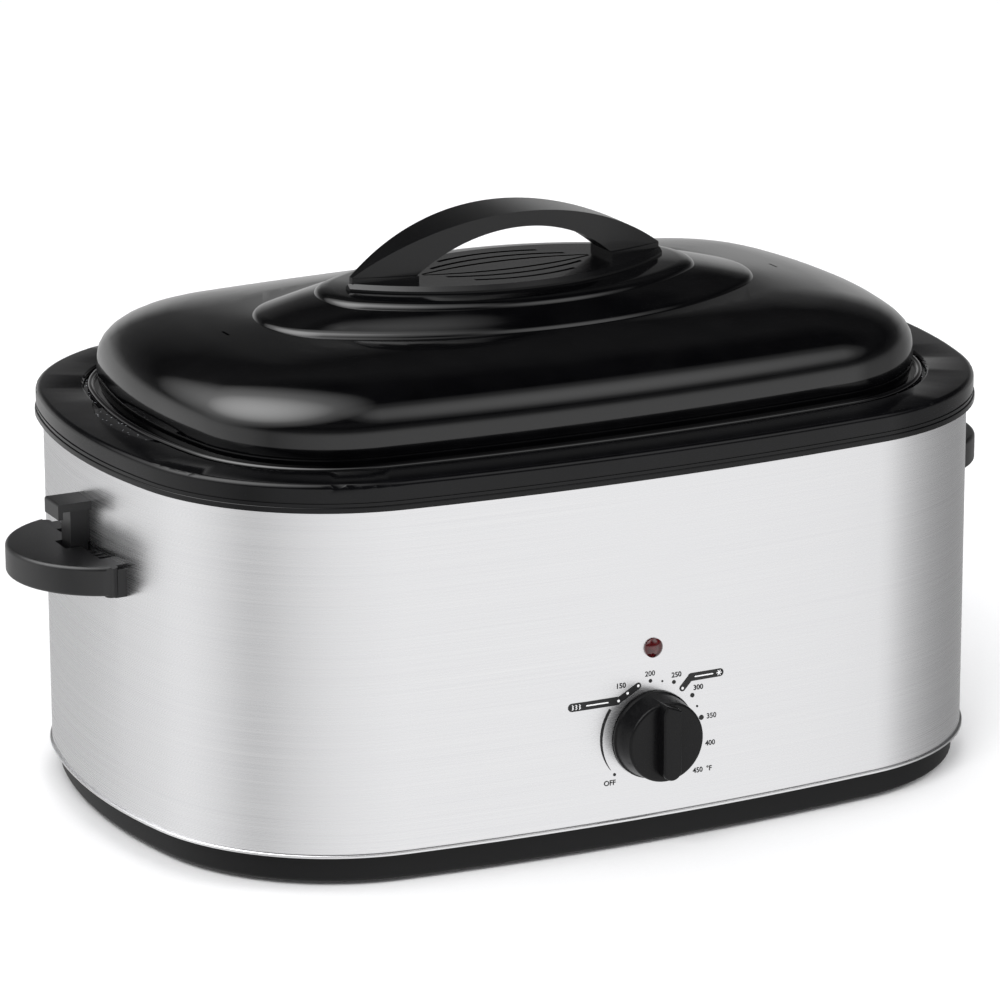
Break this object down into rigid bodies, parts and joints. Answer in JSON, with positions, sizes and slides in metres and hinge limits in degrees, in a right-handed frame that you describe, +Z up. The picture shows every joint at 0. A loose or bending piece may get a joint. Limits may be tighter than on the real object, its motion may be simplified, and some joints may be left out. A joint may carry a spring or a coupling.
{
  "type": "electric roaster oven",
  "caption": "Free-standing oval roaster oven: steel wrap, lift-off domed lid with arched handle, removable pan, wire rack and turning thermostat knob.",
  "frame": {"origin": "on the table plane, under the middle of the whole outline with the knob counted in", "axes": "+X along the long side towards the right handle seen from the front, -Y out of the front with the dial, +Z up"},
  "size_m": [0.658, 0.4218, 0.3545],
  "materials": {
    "base_black": "matt moulded black",
    "foot_rubber": "matt black rubber",
    "zinc": "bright zinc plate",
    "galvanised": "dull galvanised sheet",
    "brushed_steel": "stainless sheet brushed along its length",
    "black_enamel": "gloss black enamel",
    "element_steel": "dull heater sheath",
    "glass_wool": "felted glass wool",
    "thermostat_resin": "dark moulded resin",
    "copper": "bare copper",
    "knob_black": "satin black plastic",
    "lamp_red": "clear dark red plastic",
    "holder_nylon": "natural nylon",
    "gland_black": "black nylon",
    "block_white": "white nylon",
    "handle_black": "satin black plastic",
    "pan_enamel": "speckled black enamel",
    "chrome_wire": "chromed wire",
    "lid_enamel": "gloss black enamel",
    "handle_gloss": "semi-gloss black plastic"
  },
  "bodies": {
    "housing": {"base_tray": "base_black", "base_feet": "foot_rubber", "base_screws": "zinc", "base_nuts": "zinc", "heat_shield": "galvanised", "outer_wrap": "brushed_steel", "top_collar": "black_enamel", "inner_liner": "galvanised", "heating_element": "element_steel", "element_clips": "galvanised", "insulation_blanket": "glass_wool", "thermostat_bracket": "zinc", "thermostat_body": "thermostat_resin", "thermostat_bulb": "copper", "pilot_lens": "lamp_red", "pilot_holder": "holder_nylon", "cord_gland": "gland_black", "terminal_block": "block_white", "left_handle": "handle_black", "right_handle": "handle_black", "left_lid_rest": "handle_black", "right_lid_rest": "handle_black", "handle_screws": "zinc"},
    "knob": {"control_knob": "knob_black", "thermostat_shaft": "zinc"},
    "pan": {"cooking_pan": "pan_enamel"},
    "rack": {"rack_rim": "chrome_wire", "rack_bars": "chrome_wire", "rack_loops": "chrome_wire"},
    "lid": {"lid_shell": "lid_enamel", "lid_handle_plate": "handle_gloss", "lid_handle": "handle_gloss", "lid_washers": "zinc", "lid_screws": "zinc"}
  },
  "joints": [
    {"name": "knob_turn", "type": "hinge", "parent": "housing", "child": "knob", "pos_m": [0, -0.19, 0.072], "axis": [0, 1, 0], "range_deg": [-130.6, 137.5]},
    {"name": "pan_lift", "type": "slide", "parent": "housing", "child": "pan", "axis": [0, 0, 1], "range_m": [0, 0.24]},
    {"name": "rack_lift", "type": "slide", "parent": "pan", "child": "rack", "axis": [0, 0, 1], "range_m": [0, 0.2]},
    {"name": "lid_lift", "type": "slide", "parent": "rack", "child": "lid", "axis": [0, 0, 1], "range_m": [0, 0.15]}
  ]
}
